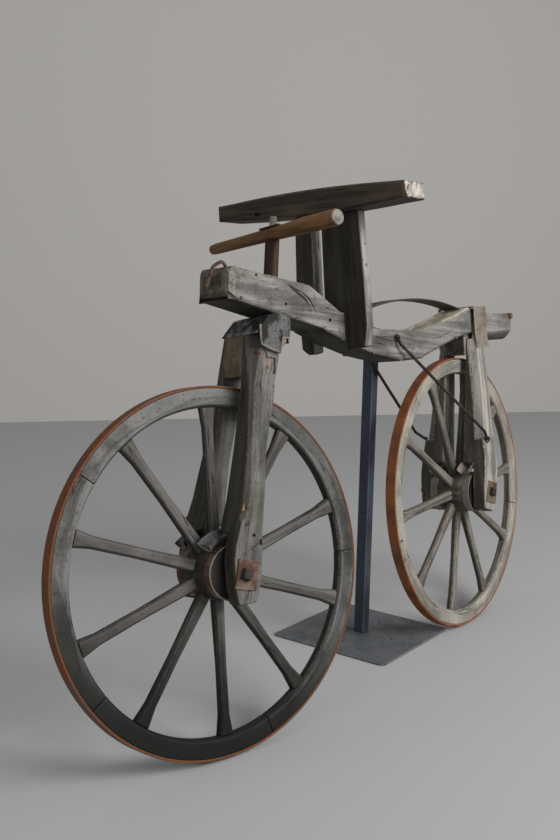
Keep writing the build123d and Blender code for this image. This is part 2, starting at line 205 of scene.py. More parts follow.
# %% Patch group
def patch_group():
    group, given, result = new_group(
        "dirt_patches", [("Place", "NodeSocketVector"), ("Size", "NodeSocketFloat")],
        [("Broad", "NodeSocketFloat"), ("Fine", "NodeSocketFloat"), ("Height", "NodeSocketFloat")])
    sized = value_node(group, "ShaderNodeVectorMath", operation="SCALE")
    link(group, given["Place"], sized.inputs[0])
    link(group, given["Size"], sized.inputs["Scale"])
    broad = noise(group, sized.outputs[0], scale=1.0, detail=5, roughness=0.6)
    fine = noise(group, sized.outputs[0], scale=14.0, detail=6, roughness=0.7)
    link(group, broad, result["Broad"])
    link(group, fine, result["Fine"])
    link(group, math_node(group, "ADD", math_node(group, "MULTIPLY", broad, 0.3), fine), result["Height"])
    return group


dirt_patches = patch_group()
print("group", dirt_patches.name)

# %% [markdown]
# ## Timber finishes
# All the timbers are one recipe with different colours. A finish has a colour for the sides that face the
# light on the real machine, which have gone grey, and a dark one for the fronts, undersides and backs, which
# kept their old stain. The difference is also painted light: the lit sides are painted lighter, and the fronts
# and undersides get painted shade. Each face of a finished piece stores how grey and lit it is, so the two meet
# at the edges as they do on the real boards. Rounded edges are paler again, because hands and boots wear them
# bare.

# %% Timber recipe
def attribute(tree, name):
    node = value_node(tree, "ShaderNodeAttribute", attribute_name=name)
    return node.outputs["Fac"], node.outputs["Vector"]


def group_node(tree, group, **numbers):
    node = value_node(tree, "ShaderNodeGroup", node_tree=group)
    for name, number in numbers.items():
        node.inputs[name].default_value = number
    return node


def empty_material(name, gloss):
    material = bpy.data.materials.new(name)
    material.use_nodes = True
    tree = material.node_tree
    shader = tree.nodes["Principled BSDF"]
    shader.inputs["Specular IOR Level"].default_value = gloss
    return material, tree, shader


def bump(tree, shader, height, depth, strength=1.0):
    node = value_node(tree, "ShaderNodeBump")
    node.inputs["Strength"].default_value = strength
    node.inputs["Distance"].default_value = depth
    link(tree, height, node.inputs["Height"])
    link(tree, node.outputs["Normal"], shader.inputs["Normal"])


# painted shadow on the front wheel: darker towards its front and lower side and lighter upwards and to the rear
SHADOW_WAY = (-0.3, 0.0, 1.0)


def timber(name, light, dark, worn, splits=0.8, relief=0.0015, mottle=0.5, edge_wear=0.6, painted_shadow=None):
    """Weathered timber: light on its grey faces, dark on the others, worn on rounded edges. The light and dark
    faces carry painted light and painted shade as well as weathering.

    The last argument gives two places along the way the painted shadow fades, in metres: a near-black painted
    shadow below the first and none above the second.
    """
    material, tree, shader = empty_material(name, 0.2)
    grain = attribute(tree, "grain")[1]
    side = attribute(tree, "lit_and_grey_side")[0]
    wear = attribute(tree, "worn_edge")[0]
    fibres = group_node(tree, timber_grain, Splits=splits)
    link(tree, grain, fibres.inputs["Grain"])
    patches = group_node(tree, dirt_patches, Size=9.0)
    place = value_node(tree, "ShaderNodeTexCoord").outputs["Object"]
    link(tree, place, patches.inputs["Place"])
    # painted shadow: the lit side fades out towards the front and bottom
    if painted_shadow:
        climb = value_node(tree, "ShaderNodeVectorMath", operation="DOT_PRODUCT")
        link(tree, place, climb.inputs[0])
        climb.inputs[1].default_value = SHADOW_WAY
        unshadowed = ramp(tree, climb.outputs["Value"], *painted_shadow)
        side = math_node(tree, "MULTIPLY", side, unshadowed)
    fine, streak, split = (fibres.outputs[socket] for socket in ("Fibre", "Streak", "Split"))
    soft = ramp(tree, streak, 0.36, 0.62)
    # pale and dark faces: weathering and stain, and also painted light on the lit faces and painted shade on
    # the fronts and undersides
    pale_face = blend(tree, soft, scaled(light, 0.5), scaled(light, 1.1))
    dark_face = blend(tree, soft, scaled(dark, 0.6), scaled(dark, 1.45))
    stray = math_node(tree, "MULTIPLY", ramp(tree, patches.outputs["Broad"], 0.5, 0.75), 0.22)
    base = blend(tree, math_node(tree, "ADD", side, stray, clamp=True), dark_face, pale_face)
    lit_side = math_node(tree, "MULTIPLY", side, 0.4)
    lit_fibre = math_node(tree, "MULTIPLY", ramp(tree, fine, 0.5, 0.75), lit_side)
    base = blend(tree, lit_fibre, base, scaled(light, 1.25))
    dirt = math_node(tree, "MULTIPLY", ramp(tree, patches.outputs["Broad"], 0.42, 0.66), mottle)
    base = blend(tree, dirt, base, scaled(dark, 0.75))
    specks = math_node(tree, "MULTIPLY", ramp(tree, patches.outputs["Fine"], 0.54, 0.64), 0.65 * mottle)
    base = blend(tree, specks, base, scaled(dark, 0.6))
    rub = math_node(tree, "MULTIPLY", wear, ramp(tree, patches.outputs["Fine"], 0.4, 0.62))
    base = blend(tree, math_node(tree, "MULTIPLY", rub, edge_wear), base, worn)
    base = blend(tree, split, base, CRACK_BLACK)
    # painted shadow: near-black towards the front and bottom
    if painted_shadow:
        base = blend(tree, unshadowed, scaled(dark, 0.2), base)
    link(tree, base, shader.inputs["Base Color"])
    rough = math_node(tree, "ADD", math_node(tree, "MULTIPLY", patches.outputs["Fine"], 0.25), 0.5)
    link(tree, rough, shader.inputs["Roughness"])
    bump(tree, shader, fibres.outputs["Height"], relief)
    return material


# finish, colour of its grey, lit side, colour of its dark, shaded side, colour of its worn edges
TIMBER_COLOURS = [
    ("leg_grey", tint(156, 150, 141), tint(80, 74, 66), tint(176, 170, 160)),
    ("upright_dark", tint(150, 146, 140), tint(48, 45, 39), tint(112, 104, 92)),
    ("board_brown", tint(84, 76, 66), tint(66, 56, 47), tint(112, 98, 82)),
    ("leg_olive", tint(114, 111, 106), tint(56, 53, 43), tint(112, 106, 92)),
    ("crown_brown", tint(130, 119, 104), tint(98, 85, 68), tint(134, 118, 100)),
    ("hub_olive", tint(62, 57, 47), tint(50, 45, 36), tint(84, 78, 66)),
    ("pale_timber", tint(156, 150, 139), tint(98, 91, 82), tint(178, 172, 160)),
    ("pale_spoke", tint(118, 112, 103), tint(78, 72, 64), tint(150, 144, 134)),
    ("split_wood", tint(196, 188, 178), tint(156, 147, 136), tint(206, 200, 190)),
    ("old_break", tint(132, 122, 112), tint(98, 84, 74), tint(146, 136, 126)),
    ("fresh_chip", tint(168, 138, 108), tint(128, 98, 72), tint(182, 156, 128)),
    ("bare_end", tint(140, 136, 130), tint(118, 112, 105), tint(150, 146, 140)),
    ("end_olive", tint(112, 107, 90), tint(76, 71, 58), tint(120, 115, 98)),
    # the beam's underside colour is painted shade
    ("underside_painted_shade", tint(72, 70, 61), tint(50, 47, 40), tint(88, 84, 74)),
    ("seat_worn", tint(196, 186, 168), tint(178, 168, 150), tint(210, 202, 186)),
    ("chestnut", tint(138, 108, 76), tint(110, 80, 52), tint(160, 122, 86)),
    ("stem_brown", tint(70, 50, 34), tint(52, 36, 24), tint(90, 68, 48)),
]
finishes = {name: timber(name, light, dark, worn) for name, light, dark, worn in TIMBER_COLOURS}
finishes["beam_grey"] = timber("beam_grey", tint(134, 130, 125), tint(56, 51, 44), tint(156, 150, 140),
                               mottle=0.55)
# the front rim and spokes get a painted shadow on their front and lower side
finishes["rim_grey"] = timber("rim_grey", tint(114, 112, 108), tint(48, 46, 42), tint(134, 131, 124),
                              edge_wear=0.4, mottle=0.85, painted_shadow=(-0.23, 0.12))
finishes["spoke_grey"] = timber("spoke_grey", tint(98, 94, 89), tint(50, 46, 41), tint(120, 116, 108),
                                edge_wear=0.35, painted_shadow=(-0.2, 0.12))
print("timber finishes", sorted(finishes))

# %% [markdown]
# ## Iron finishes
# The smith's work is wrought iron. Where it was handled it is dark and smooth, and where damp stood it is
# orange and rough. The mask between the two decides colour, roughness and metal together, because rust is
# not a metal any more.

# %% Iron recipe
def iron(name, clean, rusty, rust_from, rust_to, metal=0.7, relief=0.0006, size=22.0, polish=0.0):
    """Forged iron that turns to rust where the patches pass rust_from."""
    material, tree, shader = empty_material(name, 0.35)
    patches = group_node(tree, dirt_patches, Size=size)
    link(tree, value_node(tree, "ShaderNodeTexCoord").outputs["Object"], patches.inputs["Place"])
    mask = ramp(tree, patches.outputs["Broad"], rust_from, rust_to)
    spots = ramp(tree, patches.outputs["Fine"], 0.35, 0.65)
    clean_mix = blend(tree, spots, scaled(clean, 0.65), clean)
    rust_mix = blend(tree, spots, scaled(rusty, 0.45), rusty)
    wear = attribute(tree, "worn_edge")[0]
    shine = math_node(tree, "MULTIPLY", wear, math_node(tree, "SUBTRACT", 1.0, mask))
    colour = blend(tree, mask, clean_mix, rust_mix)
    colour = blend(tree, math_node(tree, "MULTIPLY", shine, 0.5), colour, scaled(clean, 3.0))
    link(tree, colour, shader.inputs["Base Color"])
    bare = math_node(tree, "MULTIPLY", math_node(tree, "SUBTRACT", 1.0, mask), metal)
    link(tree, bare, shader.inputs["Metallic"])
    rough = math_node(tree, "ADD", math_node(tree, "MULTIPLY", mask, 0.35), 0.5 - polish)
    link(tree, rough, shader.inputs["Roughness"])
    bump(tree, shader, patches.outputs["Height"], relief)
    return material


# finish, colour of clean metal, colour of rust, patch value where rust starts and is full, metal
IRON_COLOURS = [
    ("dark_iron", tint(60, 55, 50), tint(92, 66, 50), 0.5, 0.75, 0.7),
    ("rusty_iron", tint(118, 100, 86), tint(88, 58, 43), 0.4, 0.6, 0.2),
    ("tan_sheet", tint(134, 124, 113), tint(98, 76, 58), 0.45, 0.72, 0.0),
    ("front_tyre_rust", tint(84, 52, 30), tint(128, 74, 38), 0.35, 0.65, 0.0),
    ("rear_tyre_rust", tint(112, 68, 40), tint(160, 96, 54), 0.35, 0.65, 0.0),
    ("bare_steel", tint(142, 134, 124), tint(96, 78, 64), 0.5, 0.75, 0.3),
    # near-black painted shade for the inside of splits, holes, a dent and the nave ends
    ("painted_shade_black", tint(26, 23, 19), tint(36, 31, 25), 0.4, 0.8, 0.0),
]
for name, clean, rusty, low, high, metal in IRON_COLOURS:
    finishes[name] = iron(name, clean, rusty, low, high, metal=metal)
# painted sheen on the black sheet: its pale first colour and its brightened worn edges stand for reflections,
# and its second colour is the black sheet itself
finishes["black_sheet_painted_sheen"] = iron("black_sheet_painted_sheen", tint(124, 123, 122), tint(38, 34, 30), 0.44, 0.56, metal=0.9,
                               relief=0.003, size=26.0, polish=0.2)
finishes["stand_paint"] = iron("stand_paint", tint(58, 64, 74), tint(50, 55, 64), 0.4, 0.8, metal=0.0,
                               relief=0.0001, size=10.0)
finishes["plate_paint"] = iron("plate_paint", tint(92, 95, 98), tint(78, 82, 85), 0.4, 0.8, metal=0.0,
                               relief=0.0001, size=10.0)
print("all finishes", len(finishes))

# %% [markdown]
# ## Softening the frame's pieces
# A CAD solid has knife edges, and its mesh is loose triangles. A copy is merged, its flat areas are joined
# back into single faces, and then a real bevel rounds each edge by as much as that piece is worn. Small
# facets round a bore are left alone, because a bevel wider than a facet would fold over itself. Hands and
# boots wear the upper edges, so only those are marked as worn.

# %% Merge and bevel
# edges that turn by more than this are rounded, and faces that meet at less than the second are shaded as one
SHARP = math.radians(24)
SMOOTH_UNDER = math.radians(48)


def softened(node, edge):
    """bmesh copy of a CAD node with its edges rounded by edge metres, worn faces marked."""
    work = bmesh.new()
    work.from_mesh(nodes[node].data)
    bmesh.ops.remove_doubles(work, verts=work.verts, dist=2e-5)
    bmesh.ops.dissolve_limit(work, angle_limit=math.radians(0.6), verts=work.verts, edges=work.edges)
    mark = work.faces.layers.float.new("worn_edge")
    if edge:
        crisp = [e for e in work.edges if e.is_manifold and e.calc_face_angle() > SHARP
                 and e.calc_length() > 2.5 * edge]
        made = bmesh.ops.bevel(work, geom=crisp, offset=edge, offset_type="OFFSET", segments=2, profile=0.5,
                               affect="EDGES", material=-1, clamp_overlap=False, loop_slide=True)
        for face in made["faces"]:
            face[mark] = 1.0 if face.normal.z > -0.15 else 0.0
    return work


print("edges that turn by more than", round(math.degrees(SHARP)), "degrees are rounded")

# %% [markdown]
# Grain follows the tree, so each board needs its own direction. A board's longest direction is found from its
# own vertices, a felloe's grain bends with the rim, and a nave is turned with its grain along the axle. Each
# separate board also gets its own offset, so that no two show the same figure.

# %% Grain directions
def islands(work):
    """Lists of connected vertices."""
    work.verts.ensure_lookup_table()
    seen = set()
    groups = []
    for first in work.verts:
        if first in seen:
            continue
        seen.add(first)
        group = [first]
        for vert in group:
            for edge in vert.link_edges:
                other = edge.other_vert(vert)
                if other not in seen:
                    seen.add(other)
                    group.append(other)
        groups.append(group)
    return groups


def along_board(points):
    """Coordinates along and across a board, from its own longest directions."""
    centred = points - points.mean(axis=0)
    directions = np.linalg.svd(centred, full_matrices=False)[2]
    return centred @ directions.T


def round_rim(points, hub, axle):
    """Coordinates round the rim, across its depth and across its width."""
    offset = points - hub
    width = offset @ axle
    flat = offset - np.outer(width, axle)
    first = np.cross(axle, (0.0, 0.0, 1.0))
    first = first / np.linalg.norm(first)
    second = np.cross(axle, first)
    radius = np.linalg.norm(flat, axis=1)
    angle = np.arctan2(flat @ second, flat @ first)
    middle = angle[0]
    angle = middle + (angle - middle + np.pi) % (2 * np.pi) - np.pi
    return np.column_stack([angle * 0.35, radius, width])


def wheel_axis(node):
    """Hub and axle direction of the wheel that a node belongs to."""
    joint = joints["front_wheel_spin" if node.startswith("front") else "rear_wheel_spin"]
    axle = np.array(joint["axis"], float)
    return np.array(joint["pos_m"], float), axle / np.linalg.norm(axle)


def grain_of(node, points, figure):
    if figure == "rim":
        return round_rim(points, *wheel_axis(node))
    if figure == "axle":
        hub, axle = wheel_axis(node)
        across = np.cross(axle, (0.0, 0.0, 1.0))
        across = across / np.linalg.norm(across)
        return (points - hub) @ np.column_stack([axle, across, np.cross(axle, across)])
    return along_board(points)


print("grain figures: board, rim, axle")

# %% [markdown]
# The left sides of the real boards are grey, and their fronts and undersides are dark. The stored number
# paints that weathering and stain, and also painted light on the sides and painted shade on the fronts and
# undersides. The right sides can't be seen, so they are taken to match the left. Each face's direction at rest
# gives that number, once, so it stays with the board when the fork turns.

# %% Finish one node
LEFT = (machine.to_3x3() @ Vector((0, 1, 0))).normalized()
chance = random.Random(1820)


def even_shading(piece):
    """Smooth faces that shade as flat where they are flat, with a crease at real edges."""
    piece.data.set_sharp_from_angle(angle=SMOOTH_UNDER)
    weighted = piece.modifiers.new("even_normals", "WEIGHTED_NORMAL")
    weighted.keep_sharp = True


def store_lit_and_grey(mesh, lit_greyness):
    """Stores how grey and lit each face is. Faces that look sideways are grey with painted light, less so where
    they also look down, which is painted shade.
    """
    side = mesh.attributes.get("lit_and_grey_side") or mesh.attributes.new("lit_and_grey_side", "FLOAT", "FACE")
    for face in mesh.polygons:
        lit = min(max(abs(face.normal.dot(LEFT)) * 1.6 - 0.35, 0.0), 1.0)
        side.data[face.index].value = lit_greyness * lit * (1.0 + 1.4 * min(face.normal.z, 0.0))


def finished(node, name, edge, figure="board", lit_greyness=1.0, finish="dark_iron"):
    """Replaces a CAD node by its softened copy with grain, wear, and greyness with painted light stored in the
    mesh.
    """
    work = softened(node, edge)
    for face in work.faces:
        face.smooth = True
    grain = work.verts.layers.float_vector.new("grain")
    for group in islands(work):
        points = np.array([vert.co[:] for vert in group])
        shift = np.array([chance.uniform(-3, 3) for axis in range(3)])
        for vert, place in zip(group, grain_of(node, points, figure) + shift):
            vert[grain] = place
    mesh = bpy.data.meshes.new(name)
    work.to_mesh(mesh)
    work.free()
    store_lit_and_grey(mesh, lit_greyness)
    piece = bpy.data.objects.new(name, mesh)
    bpy.context.scene.collection.objects.link(piece)
    even_shading(piece)
    mesh.materials.append(finishes[finish])
    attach(piece, body_of_node[node])
    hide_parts(node)
    return piece


slot_of = {part["node"]: part["material_slot"] for part in record["subparts"]}
finish_of_slot = {
    "grey_timber": "beam_grey", "dark_timber": "upright_dark", "olive_timber": "leg_olive",
    "brown_timber": "chestnut", "pale_timber": "pale_timber", "dark_iron": "dark_iron",
    "rusty_iron": "rusty_iron", "sheet_iron": "black_sheet_painted_sheen", "tyre_iron": "front_tyre_rust",
    "stand_paint": "stand_paint"}
for node, thing in nodes.items():
    thing.data.materials.clear()
    thing.data.materials.append(finishes[finish_of_slot[slot_of[node]]])
print("left in the row frame", [round(v, 3) for v in LEFT])

# %% [markdown]
# ## Frame timbers
# The beam is the piece that hands, legs and boots touched, so its edges are the roundest.

# %% Frame timbers
# node, finished piece, edge radius in metres, greyness and painted light of its left side, finish
FRAME_TIMBERS = [
    ("beam", "beam_timber", 0.008, 1.0, "beam_grey"),
    ("upright_left", "upright_left_plank", 0.003, 1.0, "upright_dark"),
    ("upright_right", "upright_right_post", 0.003, 1.0, "upright_dark"),
    ("arm_rest", "arm_rest_board", 0.006, 0.6, "board_brown"),
    ("saddle_strap", "saddle_strip", 0.0012, 0.0, "board_brown"),
    ("rear_leg_left", "rear_leg_left_timber", 0.003, 1.0, "leg_grey"),
    ("rear_leg_right", "rear_leg_right_timber", 0.003, 0.6, "leg_grey"),
    ("rear_crown", "rear_crown_block", 0.003, 0.6, "leg_grey"),
    ("rear_peg", "rear_peg_turned", 0.0015, 0.6, "chestnut"),
]
for node, name, edge, lit_greyness, finish in FRAME_TIMBERS:
    finished(node, name, edge, lit_greyness=lit_greyness, finish=finish)
print("frame timbers", len(FRAME_TIMBERS))

# %% [markdown]
# ## Fork timbers
# The fork was stained dark once. The fronts of its legs keep most of that, and their sides have lost it. The
# dark fronts also get painted shade, and the grey sides get painted light.

# %% Fork timbers
# node, finished piece, edge radius in metres, greyness and painted light of its left side, finish
FORK_TIMBERS = [
    ("fork_leg_left", "fork_leg_left_timber", 0.003, 1.0, "leg_olive"),
    ("fork_leg_right", "fork_leg_right_timber", 0.003, 1.0, "leg_olive"),
    ("fork_crown", "fork_crown_block", 0.002, 0.5, "crown_brown"),
    ("steering_stem", "stem_timber", 0.001, 0.3, "stem_brown"),
    ("handlebar", "handlebar_timber", 0.001, 0.3, "chestnut"),
]
for node, name, edge, lit_greyness, finish in FORK_TIMBERS:
    finished(node, name, edge, lit_greyness=lit_greyness, finish=finish)
print("fork timbers", len(FORK_TIMBERS))

# %% [markdown]
# ## Wheels
# Five felloes make each rim, and ten spokes drive into a turned nave. An iron tyre was shrunk on hot, and two
# iron bands keep the nave from splitting.

# %% Wheels
# part, finished piece, edge radius in metres, grain figure, front finish, rear finish
WHEEL_PARTS = [
    ("felloes", "rim", 0.0025, "rim", "rim_grey", "pale_timber"),
    ("spokes", "spoke_set", 0.002, "board", "spoke_grey", "pale_spoke"),
    ("nave", "nave_turned", 0.002, "axle", "hub_olive", "pale_spoke"),
    ("nave_bands", "nave_band_pair", 0.0008, "axle", "rusty_iron", "tan_sheet"),
    ("tyre", "tyre_hoop", 0.0012, "rim", "front_tyre_rust", "rear_tyre_rust"),
]
for part, name, edge, figure, front_finish, rear_finish in WHEEL_PARTS:
    finished("front_" + part, "front_" + name, edge, figure, finish=front_finish)
    finished("rear_" + part, "rear_" + name, edge, figure, finish=rear_finish)
print("wheel pieces", 2 * len(WHEEL_PARTS))

# %% [markdown]
# ## Smith's work and the stand
# Sheet and rod need only the thinnest rounding. The post and plate are modern painted steel.

# %% Iron and steel
# node, finished piece, edge radius in metres, finish
IRON_PARTS = [
    ("rear_strap", "rear_strap_band", 0.0006, "tan_sheet"),
    ("rear_stays", "rear_stay_rods", 0.0, "dark_iron"),
    ("rear_axle", "rear_axle_bar", 0.001, "rusty_iron"),
    ("rear_axle_plates", "rear_axle_plate_pair", 0.0008, "rusty_iron"),
    ("front_hook", "front_hook_nail", 0.0, "rusty_iron"),
    ("fork_cap", "fork_cap_sheet", 0.0006, "black_sheet_painted_sheen"),
    ("front_axle", "front_axle_bar", 0.001, "rusty_iron"),
    ("front_axle_plates", "front_axle_plate_pair", 0.0008, "rusty_iron"),
    ("stem_plate", "stem_plate_iron", 0.0006, "dark_iron"),
    ("stand_post", "stand_post_steel", 0.002, "stand_paint"),
    ("stand_plate", "stand_plate_steel", 0.001, "plate_paint"),
    ("stand_bracket", "stand_bracket_steel", 0.001, "stand_paint"),
]
for node, name, edge, finish in IRON_PARTS:
    finished(node, name, edge, finish=finish)
print("iron pieces", len(IRON_PARTS))

# %% [markdown]
# ## Details in the machine's own axes
# The tables below give places in millimetres, read off the photograph against the frame. These helpers carry
# them to the machine as it leans, or to the fork as it is turned, and stand a shape on a surface there.

# %% Detail helpers
def carried(point, body):
    """A place in the machine's own millimetres, in metres where the body stands."""
    return (fork if body == "fork" else machine) @ (Vector(point) / 1000)


def facing(direction, body):
    return ((fork if body == "fork" else machine).to_3x3() @ Vector(direction)).normalized()


def standing(point, normal):
    """Matrix whose Z leaves the surface along normal."""
    return Matrix.Translation(point) @ normal.to_track_quat("Z", "Y").to_matrix().to_4x4()


def added(name, work, finish, body):
    """A new piece made of what the bmesh holds."""
    bmesh.ops.recalc_face_normals(work, faces=work.faces)
    for face in work.faces:
        face.smooth = True
    mesh = bpy.data.meshes.new(name)
    work.to_mesh(mesh)
    work.free()
    mesh.materials.append(finishes[finish])
    piece = bpy.data.objects.new(name, mesh)
    bpy.context.scene.collection.objects.link(piece)
    even_shading(piece)
    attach(piece, body)
    return piece


print("front foot stands at", [round(v, 3) for v in carried((0, 97, 376), "fork")])

# %% [markdown]
# ## Hub guards
# A bent sheet hangs over each end of a nave, so that mud from the rim does not fall into the bearing. Its
# section is a gutter: low beside the leg and flared up towards the spokes. It is spun round the axle as a thin
# profile and given its thickness afterwards, which keeps both skins parallel.

# %% Hub guards
# distance from the axle, place along the axle from the wheel's middle, in millimetres
GUTTER = [(80, 61), (70, 58), (65, 50), (64, 43), (68, 35), (76, 29), (86, 26)]
# angles above the forward direction where a guard begins and ends, and the sheet's thickness in metres
GUARD_FRONT = math.radians(52)
GUARD_BACK = math.radians(160)
SHEET = 0.002


def gutter_line(hub, side):
    """The section where a guard begins, in the machine's own millimetres, with side 1 left and -1 right."""
    turn = Matrix.Rotation(-GUARD_FRONT, 3, "Y")
    return [hub + turn @ Vector((radius, side * place, 0)) for radius, place in GUTTER]


def guard(work, hub, side, body):
    """One gutter round the axle."""
    line = [work.verts.new(carried(point, body)) for point in gutter_line(hub, side)]
    edges = [work.edges.new(pair) for pair in zip(line, line[1:])]
    bmesh.ops.spin(work, geom=line + edges, cent=carried(hub, body), axis=facing((0, -1, 0), body),
                   angle=GUARD_BACK - GUARD_FRONT, steps=28, use_merge=False)


def guards(name, node, hub, body, finish):
    work = bmesh.new()
    for side in (1, -1):
        guard(work, hub, side, body)
    bmesh.ops.recalc_face_normals(work, faces=work.faces)
    bmesh.ops.solidify(work, geom=work.faces[:], thickness=SHEET)
    piece = added(name, work, finish, body)
    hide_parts(node)
    return piece


guards("front_guard_gutters", "front_guards", FRONT_HUB, "fork", "black_sheet_painted_sheen")
guards("rear_guard_gutters", "rear_guards", REAR_HUB, "frame", "tan_sheet")
print("guards spun, sheet", SHEET)

# %% [markdown]
# ## Small ironwork
# Nail heads, square axle ends, the rims that stand up on the nave bands, and the eyes that hold the stays.
# All are primitives set on a surface: a flattened ball for a nail head, a four-sided cone for a forged end,
# a small circle spun round for a ring.

# %% Small ironwork
# x, y, z of the head, radius of the head, all in millimetres
NAILS = [
    (-455, 101.5, 1072, 4.0), (-455, 102.5, 1035, 3.5), (-455, 104, 987, 4.5), (-455, 105, 894, 3.5),
    (-455, 105, 867, 3.5), (-1109, 56.5, 823, 3.5), (-1104, 57.5, 786, 3.5), (-1150, 56.5, 881, 3.0),
    (-1096, 56.5, 878, 3.0), (-1150, 57, 800, 3.0), (-80, 44, 966, 3.5), (-68, 44, 921, 4.0),
]
# the same in the fork's own axes: on its left leg, and on the front of its crown
FORK_NAILS = [(-124, 65, 806, 5.0), (-142, 64, 775, 4.5), (-136, 70, 745, 3.0)]
CROWN_MARKS = [(-102.5, 4, 797, 11.0), (-101.5, -14, 776, 3.0)]


def heads(name, table, body, way=(0, 1, 0)):
    work = bmesh.new()
    for x, y, z, radius in table:
        seat = standing(carried((x, y, z), body), facing(way, body))
        bmesh.ops.create_uvsphere(work, u_segments=14, v_segments=8, radius=radius / 1000,
                                  matrix=seat @ Matrix.Diagonal((1, 1, 0.35, 1)))
    added(name, work, "rusty_iron", body)


def ring(work, centre, axis, radius, wire, steps=64):
    """A round wire bent into a ring."""
    upright = Matrix.Rotation(math.radians(90), 4, "X")
    seat = standing(centre, axis) @ Matrix.Translation((radius, 0, 0)) @ upright
    circle = bmesh.ops.create_circle(work, segments=8, radius=wire, matrix=seat)["verts"]
    loop = [edge for edge in work.edges if edge.verts[0] in circle]
    bmesh.ops.spin(work, geom=circle + loop, cent=centre, axis=axis, angle=math.tau, steps=steps,
                   use_merge=True)


heads("nail_heads", NAILS, "frame")
heads("fork_nail_heads", FORK_NAILS, "fork")
heads("crown_rivets", CROWN_MARKS, "fork", way=(1, 0, 0.05))
print("nail heads", len(NAILS) + len(FORK_NAILS))

# %% Forged axle ends
# middle of an end beside the hub in millimetres, half diagonals of its two squares and its length in metres
AXLE_END_Y = 106
AXLE_END_BASE = 0.017
AXLE_END_TIP = 0.013
AXLE_END_LENGTH = 0.014
for end, hub, body in HUBS:
    work = bmesh.new()
    for side in (1, -1):
        middle = carried(hub + Vector((0, side * AXLE_END_Y, 0)), body)
        seat = standing(middle, facing((0, side, 0), body)) @ Matrix.Rotation(math.radians(20), 4, "Z")
        bmesh.ops.create_cone(work, cap_ends=True, segments=4, radius1=AXLE_END_BASE, radius2=AXLE_END_TIP,
                              depth=AXLE_END_LENGTH, matrix=seat)
    bmesh.ops.bevel(work, geom=work.edges[:], offset=0.0015, offset_type="OFFSET", segments=2, profile=0.5,
                    affect="EDGES", material=-1, clamp_overlap=True)
    added(end + "_axle_ends", work, "dark_iron", body)
print("axle ends forged")

# %% Rims on the nave bands, and eyes for the stays
# a band's outer edge beside the hub in millimetres, its rim's radius and thickness in metres
BAND_EDGE_Y = 57.6
BAND_RIM_R = 0.0545
BAND_RIM_WIRE = 0.0012
for end, hub, body in HUBS:
    work = bmesh.new()
    for side in (1, -1):
        centre = carried(hub + Vector((0, side * BAND_EDGE_Y, 0)), body)
        ring(work, centre, facing((0, 1, 0), body), BAND_RIM_R, BAND_RIM_WIRE)
    added(end + "_band_rims", work, "bare_steel", end + "_wheel")
# x, y, z of an eye, with its mate on the other side
EYES = [(-668, 48, 818), (-1046, 94, 520)]
work = bmesh.new()
for x, y, z in EYES:
    for side in (1, -1):
        ring(work, carried((x, side * y, z), "frame"), facing((0.5, side, 0), "frame"), 0.0075, 0.0022, 24)
added("stay_eyes", work, "dark_iron", "frame")
print("rings bent")

# %% [markdown]
# ## Splits, holes and broken timber
# Old boards lose wood, so wood is taken away. A drying split is a rod with four sides that tapers to nothing at
# its ends, cut out of the surface. A broken place is cut by a block whose skin is roughened with waves. The
# cut faces keep the cutter's material, which is how fresh wood shows inside a grey board, and how splits and
# holes get near-black painted shade inside. A cut makes new vertices, so the board's grain is found again as a
# linear rule of place, and its greyness with painted light is stored afresh.

# %% Cutters
def rod_mesh(name, line, radii, body, roundness):
    """Mesh of a rod along a line, with a radius at each point, in millimetres."""
    curve = bpy.data.curves.new(name, "CURVE")
    curve.dimensions = "3D"
    curve.bevel_depth = 0.001
    curve.bevel_resolution = roundness
    curve.use_fill_caps = True
    spline = curve.splines.new("POLY")
    spline.points.add(len(line) - 1)
    for point, place, radius in zip(spline.points, line, radii):
        point.co = (*carried(place, body), 1.0)
        point.radius = radius
    return bpy.data.meshes.new_from_object(bpy.data.objects.new(name, curve))


def split_cutter(name, line, radius, body):
    """A rod with four sides, radius at its thickest and tapering to both ends."""
    last = len(line) - 1
    taper = [radius * (0.15 + 0.85 * math.sin(math.pi * number / last)) for number in range(last + 1)]
    return rod_mesh(name, line, taper, body, 0)


WAVES = random.Random(31)
# direction of each wave in space, its start, and the way it pushes
BROKEN_WAVES = [(Vector([WAVES.uniform(-1, 1) for axis in range(3)]), WAVES.uniform(0, math.tau),
                 Vector([WAVES.uniform(-1, 1) for axis in range(3)])) for wave in range(7)]


def uneven(place):
    """Smooth wobble of about one on each axis, from crossed waves."""
    return sum((push * math.sin(way.dot(place) + start) for way, start, push in BROKEN_WAVES), Vector()) * 0.5


def rough_cutter(name, centre, half, amount, body, turn=0.0):
    """A block with an uneven skin. Sizes in millimetres, turned about the machine's Y."""
    work = bmesh.new()
    bmesh.ops.create_cube(work, size=2.0)
    bmesh.ops.subdivide_edges(work, edges=work.edges[:], cuts=14, use_grid_fill=True)
    shape = Matrix.Rotation(math.radians(turn), 4, "Y") @ Matrix.Diagonal((*half, 1))
    for vert in work.verts:
        place = shape @ vert.co
        wobble = 0.5 * uneven(place * 0.35) + 0.3 * uneven(place * 1.1)
        vert.co = carried(Vector(centre) + place + wobble * amount, body)
    mesh = bpy.data.meshes.new(name)
    work.to_mesh(mesh)
    work.free()
    return mesh


def places(mesh):
    """Places of a mesh's vertices with a 1 beside each, one row per vertex."""
    flat = np.empty(len(mesh.vertices) * 3)
    mesh.vertices.foreach_get("co", flat)
    return np.column_stack([flat.reshape(-1, 3), np.ones(len(mesh.vertices))])


